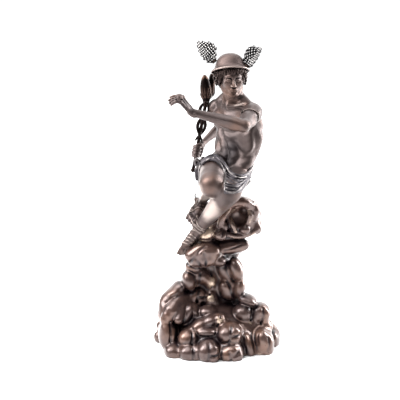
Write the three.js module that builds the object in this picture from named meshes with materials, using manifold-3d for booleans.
// A bronze-finished statuette of Mercury seated on a rising column of cloud, in millimetres.
// +Z is up, -Y is the front and the origin is the middle of the flat underside.
// The cloud plinth, the figure, its two helmet wings and its herald's staff are separate castings.
import * as THREE from "three";
import { mergeVertices } from "three/addons/utils/BufferGeometryUtils.js";
import Module from "manifold-3d";

const wasm = await Module();
wasm.setup();

// Driving dimensions
const BASE_WIDTH = 120;
const BASE_DEPTH = 114;
const MOUND_HEIGHT = 48;
const SEAT_HEIGHT = 170; // underside to the middle of the hips
const FIGURE_HEIGHT = 250; // crown to heel of the figure if it stood up straight
const GLUE_GAP = 0.3; // clearance round a casting that is let into another
const STAFF_RADIUS = 1.7;
const STAFF_BELOW_GRIP = 20;
const STAFF_ABOVE_GRIP = 72;
const SNAKE_RADIUS = 1.5;
const BRIM_RADIUS = 17.8;
const BRIM_THICKNESS = 1.5;
const DOME_RADIUS = 14.2;
const DOME_HEIGHT = 15.5;
const CAP_WING_LENGTH = 25;
const FEATHER_THICKNESS = 1.3;

// The pose is written for a figure of this height and scales with FIGURE_HEIGHT.
const POSE_HEIGHT = 250;
const scale = FIGURE_HEIGHT / POSE_HEIGHT;
const seat = [11.3, 5, SEAT_HEIGHT];

const vec = (x, y, z) => new THREE.Vector3(x, y, z);
const pose = (x, y, z) => vec(x, y, z).multiplyScalar(scale);
const X_AXIS = vec(1, 0, 0);
const Y_AXIS = vec(0, 1, 0);
const Z_AXIS = vec(0, 0, 1);

// Joints of the pose, from the middle of the hips. Left and right are the figure's own.
const joint = {
  hipL: pose(9, -9, 0),
  hipR: pose(-8.8, 9, 1),
  kneeL: pose(-1.5, -48, -10),
  kneeR: pose(-14.6, -47, -7.1),
  ankleL: pose(-30.5, -25, -52.1),
  ankleR: pose(-23.5, -1, -35.5),
  toeL: pose(-43.9, -28, -76.1),
  toeR: pose(-33, -20, -47),
  shoulderL: pose(23.6, -5, 54.3),
  shoulderR: pose(-11.5, 31, 52.3),
  elbowL: pose(13, -45, 46.2),
  elbowR: pose(-0.7, 63, 34.2),
  wristL: pose(-34.3, -47, 59.1),
  wristR: pose(-25.3, 31, 16.6),
  knuckleL: pose(-43.1, -49, 70.5),
  grip: pose(-29.4, 25, 12.2),
  head: pose(3, 7, 83),
  brim: pose(2, 9, 90.7),
};

// Joins and cuts

/** The closed solid of a three.js geometry. */
function solidOf(geometry) {
  const bare = geometry.clone();
  for (const name of Object.keys(bare.attributes)) {
    if (name !== "position") bare.deleteAttribute(name);
  }
  const merged = mergeVertices(bare, 1e-4);
  return new wasm.Manifold(
    new wasm.Mesh({
      numProp: 3,
      vertProperties: new Float32Array(merged.attributes.position.array),
      triVerts: new Uint32Array(merged.index.array),
    }),
  );
}

/** All the solids joined into one. */
function join(solids) {
  return solids.reduce((all, next) => all.add(next));
}

/** A flat-shaded geometry of a solid. A sliver cut loose from it by a neighbour's room is dropped. */
function geometryOf(solid) {
  const body = solid.decompose().sort((a, b) => b.volume() - a.volume())[0];
  const mesh = body.getMesh();
  const geometry = new THREE.BufferGeometry();
  geometry.setAttribute("position", new THREE.BufferAttribute(new Float32Array(mesh.vertProperties), 3));
  geometry.setIndex(new THREE.BufferAttribute(new Uint32Array(mesh.triVerts), 1));
  const flat = geometry.toNonIndexed();
  flat.computeVertexNormals();
  return flat;
}

// Building blocks

/** A closed skin over rings of equally many points, with a fan over each end moved outwards by grow. */
function loft(rings, grow = 0) {
  const sides = rings[0].length;
  const middle = (ring) => ring.reduce((sum, p) => sum.add(p), vec(0, 0, 0)).divideScalar(sides);
  const moved = (ring, inner) => {
    const outwards = middle(ring).sub(middle(inner)).normalize();
    return ring.map((p) => p.clone().addScaledVector(outwards, grow));
  };
  const bottom = moved(rings[0], rings[1]);
  const top = moved(rings[rings.length - 1], rings[rings.length - 2]);
  const points = [bottom, ...rings.slice(1, -1), top].flat();
  const faces = [];
  for (let r = 0; r + 1 < rings.length; r++) {
    for (let s = 0; s < sides; s++) {
      const a = r * sides + s;
      const b = r * sides + ((s + 1) % sides);
      faces.push(a, b, b + sides, a, b + sides, a + sides);
    }
  }
  const first = points.push(middle(bottom)) - 1;
  const last = points.push(middle(top)) - 1;
  const end = (rings.length - 1) * sides;
  for (let s = 0; s < sides; s++) {
    const next = (s + 1) % sides;
    faces.push(first, next, s, last, end + s, end + next);
  }
  const geometry = new THREE.BufferGeometry().setFromPoints(points);
  geometry.setIndex(faces);
  const solid = solidOf(geometry);
  if (solid.volume() > 0) return solid;
  const mirrored = faces.map((_, i) => faces[i % 3 === 1 ? i + 1 : i % 3 === 2 ? i - 1 : i]);
  geometry.setIndex(mirrored);
  return solidOf(geometry);
}

/** A ring of points about a centre on two unit axes. extra(turn) is added to both half widths. */
function ellipse(centre, axisA, axisB, a, b, sides, extra = () => 0) {
  return Array.from({ length: sides }, (_, s) => {
    const turn = (s / sides) * 2 * Math.PI;
    const more = extra(turn, s);
    return centre
      .clone()
      .addScaledVector(axisA, (a + more) * Math.cos(turn))
      .addScaledVector(axisB, (b + more) * Math.sin(turn));
  });
}

/** The value at share t of a row of values spread evenly from 0 to 1. */
function along(values, t) {
  const place = Math.min(t, 0.99999) * (values.length - 1);
  const i = Math.floor(place);
  return THREE.MathUtils.lerp(values[i], values[i + 1], place - i);
}

/**
 * A limb along a curve, with rounded ends unless blunt. radii are its half widths along the way,
 * wideAxis is the direction of its broad side and flatness is the thin side's share of the broad one.
 */
function limb(points, radii, options = {}) {
  const { sides = 8, steps = 4, grow = 0, wideAxis = X_AXIS, flatness = 1, blunt = false } = options;
  const curve = new THREE.CatmullRomCurve3(points, false, "centripetal");
  const ring = (t, share, push) => {
    const tangent = curve.getTangent(t).normalize();
    const wide = wideAxis.clone().addScaledVector(tangent, -wideAxis.dot(tangent));
    if (wide.length() < 0.05) wide.copy(Y_AXIS).addScaledVector(tangent, -tangent.y);
    wide.normalize();
    const thin = tangent.clone().cross(wide);
    const r = along(radii, t) * scale + grow;
    const centre = curve.getPoint(t).addScaledVector(tangent, push * r * flatness);
    return ellipse(centre, wide, thin, r * share, (r * flatness + grow * (1 - flatness)) * share, sides);
  };
  const rings = Array.from({ length: steps + 1 }, (_, s) => ring(s / steps, 1, 0));
  if (blunt) return loft(rings, grow);
  return loft([ring(0, 0.55, -0.75), ...rings, ring(1, 0.55, 0.75)], grow);
}

/** An ellipsoid with radii along a frame's side, front and up axes, bent by shape(point) if given. */
function ball(centre, radii, frame, options = {}) {
  const { grow = 0, segments = 8, rows = 5, shape = null } = options;
  const geometry = new THREE.SphereGeometry(1, segments, rows);
  geometry.rotateX(Math.PI / 2);
  geometry.scale(...radii.map((r) => r * scale + grow));
  if (shape) {
    const spot = geometry.attributes.position;
    for (let i = 0; i < spot.count; i++) {
      const point = shape(vec(spot.getX(i), spot.getY(i), spot.getZ(i)));
      spot.setXYZ(i, point.x, point.y, point.z);
    }
  }
  const matrix = new THREE.Matrix4().makeBasis(frame.side, frame.back, frame.up);
  matrix.setPosition(centre);
  geometry.applyMatrix4(matrix);
  return solidOf(geometry);
}

/** Unit axes turned by yaw about +Z and leaning back by tilt: side is the figure's left. */
function frameOf(yawDegrees, tiltDegrees = 0) {
  const turn = new THREE.Euler(
    THREE.MathUtils.degToRad(-tiltDegrees), 0, THREE.MathUtils.degToRad(yawDegrees), "ZYX",
  );
  const matrix = new THREE.Matrix4().makeRotationFromEuler(turn);
  const side = vec(0, 0, 0);
  const back = vec(0, 0, 0);
  const up = vec(0, 0, 0);
  matrix.extractBasis(side, back, up);
  return { side, back, up };
}

/** A point set off from another along a frame's axes, in figure millimetres. */
function off(from, frame, side, front, up) {
  return from
    .clone()
    .addScaledVector(frame.side, side * scale)
    .addScaledVector(frame.back, -front * scale)
    .addScaledVector(frame.up, up * scale);
}

// The body

const TORSO_YAW = -42;
const HEAD_YAW = 8;
const world = frameOf(0);
const hipFrame = frameOf(TORSO_YAW);
const headFrame = frameOf(HEAD_YAW, -3);
const helmetFrame = frameOf(HEAD_YAW, 19);
const FRONT = Math.PI * 1.5;
const BACK = Math.PI * 0.5;

// Rings of the trunk from the seat to the neck: centre, half width, half depth.
const trunkRings = [
  [1.6, -0.8, -12, 17, 13.5],
  [1.4, 0, -2.1, 21.5, 15.5],
  [3, 1.5, 5, 21.5, 15],
  [4.8, 3.4, 11.5, 21, 14.5],
  [6.4, 5.6, 17.5, 20.5, 14.3],
  [8, 9, 24.9, 22.5, 15.5],
  [9, 11.6, 31, 24.5, 16.5],
  [9.3, 14, 37, 25.5, 17],
  [9.1, 15.5, 42.9, 26, 17],
  [8.2, 16.3, 47.5, 25, 16],
  [6.8, 16.6, 52.5, 21.5, 13.5],
  [5, 16.5, 57.5, 14.5, 10.5],
  [4, 15, 62, 8.5, 8.5],
];

// Muscles and furrows: turn round the trunk, its spread, height, its spread and how far it stands out.
const muscles = [
  ...[-1, 1].flatMap((hand) => [
    [FRONT + hand * 0.62, 0.42, 44, 6.5, 3.2], // breast
    [BACK + hand * 0.62, 0.4, 44, 8, 2.6], // shoulder blade
    [FRONT + hand * 1.15, 0.4, 9, 6, 2.2], // flank over the hip bone
    [BACK + hand * 0.6, 0.5, -5, 9, 3.4], // buttock
    [FRONT + hand * 0.34, 0.22, 25, 12, 1.1], // belly column
    [FRONT + hand * 1.1, 0.3, 31, 5, 1.2], // ribs
  ]),
  [FRONT, 0.2, 30, 18, -1.6], // middle line of the front
  [BACK, 0.25, 26, 22, -2.4], // furrow of the spine
];

function trunk(grow) {
  const rings = trunkRings.map(([x, y, z, a, b]) => {
    const stand = (turn) =>
      muscles.reduce((sum, [at, wide, level, tall, reach]) => {
        const around = Math.atan2(Math.sin(turn - at), Math.cos(turn - at)) / wide;
        const up = (z - level) / tall;
        return sum + reach * scale * Math.exp(-around * around - up * up);
      }, grow);
    return ellipse(pose(x, y, z), hipFrame.side, hipFrame.back, a * scale, b * scale, 18, stand);
  });
  return loft(rings, grow);
}

function arms(grow) {
  const neckL = pose(10, 10, 54);
  const neckR = pose(0, 20, 54);
  const halfArmL = joint.shoulderL.clone().lerp(joint.elbowL, 0.45);
  const halfArmR = joint.shoulderR.clone().lerp(joint.elbowR, 0.45);
  return join([
    limb([neckL, joint.shoulderL, halfArmL, joint.elbowL], [8.2, 9.4, 10, 9.4, 8.3, 6.6], { grow, steps: 5 }),
    limb([joint.elbowL, joint.wristL], [6.4, 7, 6.2, 5, 4.3], { grow, blunt: true }),
    limb([neckR, joint.shoulderR, halfArmR, joint.elbowR], [8, 9, 9, 8, 6.8, 5.8], { grow, steps: 5 }),
    limb([joint.elbowR, joint.wristR], [6, 6.4, 5.4, 4.4, 3.8], { grow, blunt: true }),
  ]);
}

/** The raised left hand: wrist bent up, fingers loose, seen from its little-finger edge. */
function openHand(grow) {
  const towardThumb = vec(-0.1, 0.85, 0.5).normalize();
  const palm = joint.knuckleL.clone().sub(joint.wristL).normalize();
  const left = vec(-1, 0, -0.12);
  const parts = [
    limb([joint.wristL, joint.knuckleL], [4.6, 5.6, 6.4], {
      grow, sides: 6, steps: 2, wideAxis: towardThumb, flatness: 0.5,
    }),
  ];
  [9.5, 11, 12, 11].forEach((length, i) => {
    const start = joint.knuckleL.clone().addScaledVector(towardThumb, (i - 1.5) * 3.2 * scale);
    const middle = start
      .clone()
      .addScaledVector(palm, length * 0.1 * scale)
      .addScaledVector(left, length * 0.45 * scale);
    const tip = middle
      .clone()
      .addScaledVector(left, length * 0.5 * scale)
      .addScaledVector(Z_AXIS, -length * (0.14 + (3 - i) * 0.1) * scale);
    parts.push(limb([start, middle, tip], [1.8, 1.7, 1.5, 0.8], { grow, sides: 5, steps: 3, blunt: true }));
  });
  const thumbRoot = joint.wristL.clone().lerp(joint.knuckleL, 0.35).addScaledVector(towardThumb, 4 * scale);
  const thumbTip = thumbRoot.clone().add(pose(-9, 5, 4));
  parts.push(limb([thumbRoot, thumbTip], [2.4, 1.9, 0.9], { grow, sides: 5, steps: 2, blunt: true }));
  return join(parts);
}

// The staff runs through the fist and leans a little to its top.
const staffLean = vec(0.19, 0.09, 1).normalize();
const staffAt = (above) => joint.grip.clone().addScaledVector(staffLean, above * scale);

/** The right fist closed round the staff: a rounded block with four knuckled fingers in relief. */
function fist(grow) {
  const across = vec(0.72, 0.69, 0);
  const outward = vec(-0.69, 0.72, 0);
  const fingers = 4;
  const rings = Array.from({ length: 2 * fingers + 1 }, (_, i) => {
    const level = (i / (2 * fingers) - 0.5) * 13.4;
    const narrow = i === 0 || i === 2 * fingers ? -1.8 : 0;
    const centre = staffAt(level).addScaledVector(across, 2.2 * scale);
    const lobe = (turn) => ((i % 2 ? 0.5 : -0.4) * Math.abs(Math.sin(turn)) + narrow) * scale + grow;
    return ellipse(centre, across, outward, 6.2 * scale, 4.9 * scale, 8, lobe);
  });
  const palm = joint.grip.clone().addScaledVector(across, 3 * scale);
  return join([
    loft(rings, grow),
    limb([joint.wristR, palm], [3.9, 4.6], { grow, sides: 6, steps: 1, blunt: true }),
  ]);
}

function legs(grow) {
  const parts = [];
  for (const side of ["L", "R"]) {
    const hip = joint["hip" + side];
    const knee = joint["knee" + side];
    const ankle = joint["ankle" + side];
    const shinWay = ankle.clone().sub(knee).normalize();
    const behind = hip.clone().sub(knee);
    behind.addScaledVector(shinWay, -behind.dot(shinWay)).normalize();
    const calf = knee.clone().lerp(ankle, 0.34).addScaledVector(behind, 1.6 * scale);
    parts.push(limb([hip, knee], [12.6, 12.8, 12.2, 11, 9.6], { grow, sides: 10 }));
    parts.push(limb([knee, calf, ankle], [9.2, 9, 8, 5.8, 4.5], { grow, sides: 10 }));
  }
  return join(parts);
}

/** A sandalled foot: sole, instep with three straps, toes and a pair of small wings at the ankle. */
function foot(side, grow) {
  const ankle = joint["ankle" + side];
  const way = joint["toe" + side].clone().sub(ankle).normalize();
  const top = joint["knee" + side].clone().sub(ankle);
  top.addScaledVector(way, -top.dot(way)).normalize();
  const across = way.clone().cross(top);
  const place = (forward, sideways, upward) =>
    ankle
      .clone()
      .addScaledVector(way, forward * scale)
      .addScaledVector(across, sideways * scale)
      .addScaledVector(top, upward * scale);
  // along the foot: place, half width, height of the instep over the sole, strap or bare
  const stations = [
    [-9, 3.2, 5.5, 0], [-4, 4.8, 10.5, 0.6], [1, 4.8, 11.6, 0], [6, 5.2, 10, 0.7], [11, 5.5, 8.2, 0],
    [16, 6, 6.8, 0.7], [21, 6, 5, 0], [26, 5.6, 2.4, 0],
  ];
  const soleLevel = -8.6;
  const rings = stations.map(([at, wide, tall, strap]) => {
    const w = wide + strap;
    const h = tall + strap;
    const section = [
      [-wide - 1, 0], [wide + 1, 0], [wide + 1, 1.7], [w * 0.9, h * 0.6],
      [w * 0.42, h * 0.95], [-w * 0.42, h * 0.95], [-w * 0.9, h * 0.6], [-wide - 1, 1.7],
    ];
    const centre = place(at, 0, soleLevel + tall / 2);
    return section.map(([x, z]) => {
      const corner = place(at, x, soleLevel + z);
      return corner.add(corner.clone().sub(centre).normalize().multiplyScalar(grow));
    });
  });
  const parts = [loft(rings, grow)];
  for (let i = 0; i < 5; i++) {
    const root = place(20, (i - 2) * 2.35, soleLevel + 3.4);
    const end = place(29 - Math.abs(i - 1.4), (i - 2) * 2.55, soleLevel + 2.6);
    parts.push(limb([root, end], [2, 1.3], { grow, sides: 4, steps: 1, blunt: true }));
  }
  for (const hand of [-1, 1]) {
    const root = place(-3, hand * 4.4, -0.5);
    const feather = place(-8.5, hand * 9, 5.5);
    parts.push(limb([root, feather], [2.4, 3.4, 1.2], {
      grow, sides: 6, steps: 2, wideAxis: way, flatness: 0.42, blunt: true,
    }));
  }
  return join(parts);
}

/** The head and neck: a plain oval head narrowing to the jaw, a straight nose, and curls round the sides. */
function headAndNeck(grow) {
  const jaw = (p) => {
    const below = THREE.MathUtils.clamp(-p.z / (14 * scale), 0, 1);
    return vec(p.x * (1 - 0.3 * below ** 1.4), p.y * (p.y > 0 ? 1 - 0.4 * below : 1 - 0.12 * below), p.z);
  };
  const at = (side, front, up) => off(joint.head, headFrame, side, front, up);
  const parts = [
    limb([pose(5, 15, 54), pose(4.2, 10.5, 71)], [9, 7.2, 6.8], { grow, steps: 2, blunt: true }),
    ball(at(0, 0, 0), [11.2, 12.8, 16], headFrame, { grow, segments: 10, rows: 8, shape: jaw }),
    limb([at(0, 11.4, 2), at(0, 14.2, -4.6)], [1.2, 2], { grow, sides: 5, steps: 1, blunt: true }),
    limb([at(-2.6, 10.9, -8.6), at(2.6, 10.9, -8.6)], [0.7, 1.6, 0.7], {
      grow, sides: 5, steps: 2, blunt: true,
    }),
  ];
  // three staggered rows of curls: full at the sides and nape, short over the brow
  const lobes = 9;
  const rows = [[8.4, 11.4, 0], [3.6, 12.9, 1], [-1.6, 12.2, 0], [-6.4, 9.4, 1]];
  parts.push(
    loft(
      rows.map(([up, reach, stagger]) =>
        ellipse(at(0, -1.5, up), headFrame.side, headFrame.back, reach * scale, (reach + 0.6) * scale,
          lobes * 2, (turn, s) => {
            const front = Math.max(0, -Math.sin(turn)) ** 2;
            const lobe = (s + stagger) % 2 ? 0.8 : -0.6;
            return (lobe - front * (5.2 - up) * 0.55) * scale + grow;
          }),
      ),
      grow,
    ),
  );
  return join(parts);
}

/** The round travelling hat: a low dome with a small flared brim, tipped back. */
function helmet(grow) {
  const rim = BRIM_RADIUS * scale + grow;
  const dome = DOME_RADIUS * scale + grow;
  const top = DOME_HEIGHT * scale + grow;
  const lip = BRIM_THICKNESS * scale;
  const profile = [vec(0, -lip - grow, 0), vec(rim, -2 * lip - grow, 0), vec(rim, -lip + grow, 0)];
  const arcSteps = 5;
  for (let i = 0; i <= arcSteps; i++) {
    const turn = (i / arcSteps) * (Math.PI / 2);
    const reach = i === arcSteps ? 0 : dome * Math.cos(turn) ** 0.85;
    profile.push(vec(reach, lip + (top - lip) * Math.sin(turn), 0));
  }
  const geometry = new THREE.LatheGeometry(profile, 14);
  geometry.rotateX(Math.PI / 2);
  const matrix = new THREE.Matrix4().makeBasis(helmetFrame.side, helmetFrame.back, helmetFrame.up);
  matrix.setPosition(joint.brim);
  geometry.applyMatrix4(matrix);
  return solidOf(geometry);
}

/** The loincloth: a wrap round the hips, a sleeve on each thigh, a rolled edge, a knot and its two ends. */
function loincloth(grow) {
  // centre, half width, half depth and how far the upper edge dips over the left flank
  const wrapRings = [
    [3.6, 1.5, 6, 22.6, 16.6, 9],
    [2.4, 0, -2, 22.8, 17.8, 5],
    [1, -1, -10, 21.4, 17.6, 2],
    [0.5, -2, -17, 16, 14, 0],
  ];
  const sides = 20;
  const wrap = loft(
    wrapRings.map(([x, y, z, a, b, dip], row) => {
      const pleat = (turn, s) => ((s + row) % 2 ? 0.5 : -0.5) * scale + grow;
      const points = ellipse(
        pose(x, y, z), hipFrame.side, hipFrame.back, a * scale, b * scale, sides, pleat,
      );
      points.forEach((p, s) => {
        p.z -= dip * scale * Math.max(0, Math.cos((s / sides) * 2 * Math.PI + 0.9)) ** 1.5;
      });
      return points;
    }),
    grow,
  );
  const sleeve = (side, reach, radii) =>
    limb([joint["hip" + side], joint["hip" + side].clone().lerp(joint["knee" + side], reach)], radii, {
      grow, sides: 10, steps: radii.length - 1, blunt: true,
    });
  const rolledEdge = limb(
    [
      pose(-22, 10, 6), pose(-17, -13, 3), pose(-9, -22, -1), pose(1, -22, -7),
      pose(12, -18, -9), pose(21, -8, -3), pose(20.5, 8, 5),
    ],
    [2, 2.4, 2.4, 2.2, 2.2, 1.8], { grow, sides: 5, steps: 10, wideAxis: Z_AXIS, blunt: true },
  );
  const knot = pose(-24.5, 8, 4);
  const hanging = { grow, sides: 5, steps: 2, flatness: 0.55, blunt: true };
  return join([
    wrap,
    sleeve("L", 1.1, [14, 13.9, 13.2, 12.2, 11.6]),
    sleeve("R", 0.4, [14, 14, 13.6]),
    rolledEdge,
    ball(knot, [4, 4, 4], world, { grow, segments: 6, rows: 4 }),
    limb([knot, pose(-27.5, 6, -4), pose(-28.2, 7, -11)], [2, 2.6, 2.8], hanging),
    limb([knot, pose(-25.6, 2, -7), pose(-24.4, 2, -15)], [2, 2.4, 2.4], hanging),
  ]);
}

/** The band round the left upper arm. */
function armband(grow) {
  const from = joint.shoulderL.clone().lerp(joint.elbowL, 0.36);
  const to = joint.shoulderL.clone().lerp(joint.elbowL, 0.43);
  const way = to.clone().sub(from).normalize();
  const sideways = way.clone().cross(Z_AXIS).normalize();
  const upward = sideways.clone().cross(way);
  const radius = 10.6 * scale + grow;
  return loft([from, to].map((at) => ellipse(at, sideways, upward, radius, radius, 12)), grow);
}

function figureSolid(grow) {
  return join([
    trunk(grow), arms(grow), openHand(grow), fist(grow), legs(grow), foot("L", grow), foot("R", grow),
    headAndNeck(grow), helmet(grow), loincloth(grow), armband(grow),
  ]);
}

// Feathered wings

/**
 * The outline of a wing from its foot at 0, 0 to its tip at length, 0: a full leading edge on the upper
 * side and a row of rounded feather tips down the other.
 */
function wingOutline(length, fullness, tips) {
  const shape = new THREE.Shape();
  shape.moveTo(0, -0.07 * length);
  shape.lineTo(0, 0.08 * length);
  const steps = 5;
  for (let i = 1; i <= steps; i++) {
    const t = i / steps;
    shape.lineTo(length * t, length * (0.34 * fullness * Math.sin(Math.PI * t ** 0.9) + 0.08 * (1 - t)));
  }
  for (let i = tips; i > 0; i--) {
    const t = i / tips;
    const reach = (at) => -length * 0.27 * fullness * Math.sin(Math.PI * Math.min(1, at * 0.86 + 0.1));
    shape.lineTo(length * (t - 0.35 / tips), reach(t - 0.2 / tips) - 0.03 * length);
    if (i > 1) shape.lineTo(length * (t - 0.8 / tips), reach(t - 0.8 / tips) + 0.02 * length);
  }
  return shape;
}

/** A wing of two overlapping rows of feathers. way runs from foot to tip, full to its leading edge. */
function wing(foot, way, full, length, grow) {
  const spine = way.clone().normalize();
  const upper = full.clone().addScaledVector(spine, -full.dot(spine)).normalize();
  const face = spine.clone().cross(upper);
  const matrix = new THREE.Matrix4().makeBasis(spine, upper, face).setPosition(foot);
  const rows = [
    { share: 1, fullness: 1, tips: 5, thickness: 1 },
    { share: 0.64, fullness: 1, tips: 3, thickness: 2.2 },
  ];
  return join(
    rows.map(({ share, fullness, tips, thickness }) => {
      const depth = thickness * FEATHER_THICKNESS * scale + 2 * grow;
      const shape = wingOutline(length * share + grow, fullness + grow / (0.3 * length), tips);
      const geometry = new THREE.ExtrudeGeometry(shape, { depth, bevelEnabled: false, curveSegments: 1 });
      geometry.translate(0, 0, -depth / 2);
      geometry.applyMatrix4(matrix);
      return solidOf(geometry);
    }),
  );
}

const capWings = {
  right: { foot: pose(-12.6, 9, 97.5), way: vec(-0.62, 0.25, 0.77), full: vec(0.8, 0.1, 0.6) },
  left: { foot: pose(16.6, 6, 96.5), way: vec(0.62, 0.32, 0.74), full: vec(-0.72, 0.3, 0.62) },
};

function capWing(side, grow) {
  const { foot: root, way, full } = capWings[side];
  return wing(root, way, full, CAP_WING_LENGTH * scale, grow);
}

// The herald's staff

function caduceus(grow) {
  // two snakes start at the collar below the wings and cross twice on the way down
  const snake = (phase, t) => {
    const turn = phase + t * Math.PI * 2;
    const reach = STAFF_RADIUS + SNAKE_RADIUS * 0.6 + 1.6 * (1 - 0.5 * t) * Math.abs(Math.sin(turn));
    return staffAt(45 - 33 * t)
      .addScaledVector(X_AXIS, reach * Math.sin(turn) * scale)
      .addScaledVector(Y_AXIS, reach * Math.cos(turn) * 0.75 * scale);
  };
  const snakes = [0, Math.PI].map((phase) => {
    const route = Array.from({ length: 9 }, (_, i) => snake(phase, i / 8));
    return limb(route, [1.5, 1, 1, 0.9, 0.5].map((r) => r * SNAKE_RADIUS), {
      grow, sides: 5, steps: 8, blunt: true,
    });
  });
  // the two wings are folded upward beside each other, each a sheaf of long feathers
  const sheaf = (sideways, backward, wide) => {
    const feather = (hand) => {
      const tip = STAFF_ABOVE_GRIP - 2 * Math.abs(hand);
      const route = [
        staffAt(44).add(pose(sideways * 0.4, backward, 0)),
        staffAt(57).add(pose(sideways + hand * wide * 0.45, backward, 0)),
        staffAt(tip).add(pose(sideways * 0.8 - 5 + hand * wide * 0.3, backward, 0)),
      ];
      return limb(route, [2.2, 2.6, 2.8, 1.3], { grow, sides: 5, steps: 3, blunt: true });
    };
    return join([-1, 0, 1].map(feather));
  };
  return join([
    limb([staffAt(-STAFF_BELOW_GRIP), staffAt(50)], [STAFF_RADIUS, STAFF_RADIUS], {
      grow, sides: 6, steps: 1, blunt: true,
    }),
    ...snakes,
    limb([staffAt(41), staffAt(47)], [2.2, 3.6], { grow, sides: 6, steps: 1, blunt: true }),
    sheaf(-0.5, 0, 5.5),
    sheaf(5.5, 3.4, 2.4),
  ]);
}

// The cloud plinth

/** One rounded billow of cloud. */
function billow(x, y, z, rx, ry, rz, lean = 0) {
  const big = rx > 15;
  const geometry = new THREE.SphereGeometry(1, big ? 9 : 6, big ? 6 : 4);
  geometry.rotateX(Math.PI / 2);
  geometry.scale(rx, ry, rz);
  geometry.rotateY(THREE.MathUtils.degToRad(lean));
  geometry.translate(x, y, z);
  return solidOf(geometry);
}

function cloud() {
  const wide = BASE_WIDTH / 2;
  const deep = BASE_DEPTH / 2;
  const parts = [billow(0, 0, 0, wide * 0.84, deep * 0.84, MOUND_HEIGHT * 0.86)];
  // two rings of billows round the foot: how many, reach, height, size, start
  const rings = [
    { count: 12, reach: 0.8, height: 0.13, size: 12.5, start: 0.25 },
    { count: 9, reach: 0.68, height: 0.48, size: 11, start: 0.1 },
  ];
  for (const { count, reach, height, size, start } of rings) {
    for (let i = 0; i < count; i++) {
      const turn = ((i + start) / count) * 2 * Math.PI;
      const uneven = 1 + 0.1 * Math.sin(i * 2.4 + count);
      parts.push(
        billow(
          wide * reach * Math.cos(turn), deep * reach * Math.sin(turn), MOUND_HEIGHT * height,
          size * uneven, size, size * uneven,
        ),
      );
    }
  }
  // the shoulders of the mound, higher on the left, as shares of its half width, half depth and height
  const shoulders = [
    [0.45, -0.54, 0.82, 10.5], [0.64, -0.46, 0.8, 11], [0.72, 0.05, 0.56, 12], [0.5, 0.5, 0.58, 12],
    [0.05, 0.6, 0.62, 12], [-0.4, 0.55, 0.7, 12], [-0.66, 0.2, 0.84, 12.5], [-0.66, -0.18, 0.82, 12],
    [-0.62, -0.06, 1.1, 9.5], [-0.42, -0.5, 0.82, 10], [-0.08, -0.58, 0.62, 9.5],
  ];
  for (const [x, y, z, r] of shoulders) {
    parts.push(billow(wide * x, deep * y, MOUND_HEIGHT * z, r, r, r));
  }
  // the column is written for one seat height: its upper billows rise with the seat, its waist stretches
  const writtenSeat = 170;
  const waistLow = 48;
  const waistHigh = 112;
  const rise = SEAT_HEIGHT - writtenSeat;
  const stretch = 1 + rise / (waistHigh - waistLow);
  const column = [
    [-7, 2, 58, 18, 17, 22, 0], [-18, -14, 50, 9.5, 9, 9.5, 0], [-21, -2, 66, 10, 11, 15, 0],
    [15, -8, 57, 11.5, 12, 14, 0], [14.5, -4, 73, 11.5, 12, 11.5, 0], [-1, 4, 78, 15, 14, 14, 0],
    [-12, -10, 91, 15.5, 14, 12.5, 0], [16, -6, 95, 19, 14, 8.5, -5], [-3, -12, 112.5, 13, 9, 8.5, -26],
    [8, 4, 104, 15, 15, 12, 0], [22, 0, 125, 23, 23, 23, 0], [20, 12, 142, 16, 16, 14, 0],
    [2, 18, 66, 16, 14, 24, 0],
  ];
  for (const [x, y, z, rx, ry, rz, lean] of column) {
    const share = THREE.MathUtils.clamp((z - waistLow) / (waistHigh - waistLow), 0, 1);
    parts.push(billow(x, y, z + rise * share, rx, ry, rz * (share < 1 ? stretch : 1), lean));
  }
  const room = 4 * BASE_WIDTH;
  const below = new THREE.BoxGeometry(room, room, room);
  below.translate(0, 0, -room / 2);
  return join(parts).subtract(solidOf(below));
}

// Assembly

const bronze = new THREE.MeshStandardMaterial({ color: 0x5a4338, metalness: 0.85, roughness: 0.38 });
const pewter = new THREE.MeshStandardMaterial({ color: 0x77736f, metalness: 0.8, roughness: 0.5 });

function meshOf(name, solid, material) {
  const mesh = new THREE.Mesh(geometryOf(solid), material);
  mesh.name = name;
  return mesh;
}

const staffRoom = caduceus(GLUE_GAP);
const figure = figureSolid(0)
  .subtract(staffRoom)
  .subtract(capWing("right", GLUE_GAP))
  .subtract(capWing("left", GLUE_GAP));
const plinth = cloud().subtract(figureSolid(GLUE_GAP).translate(seat)).subtract(staffRoom.translate(seat));

const statuette = new THREE.Group();
statuette.add(meshOf("cloud_plinth", plinth, bronze));
const rider = new THREE.Group();
rider.position.set(...seat);
rider.add(meshOf("mercury_figure", figure, bronze));
rider.add(meshOf("helmet_wing_right", capWing("right", 0), pewter));
rider.add(meshOf("helmet_wing_left", capWing("left", 0), pewter));
rider.add(meshOf("caduceus", caduceus(0), bronze));
statuette.add(rider);

export default statuette;
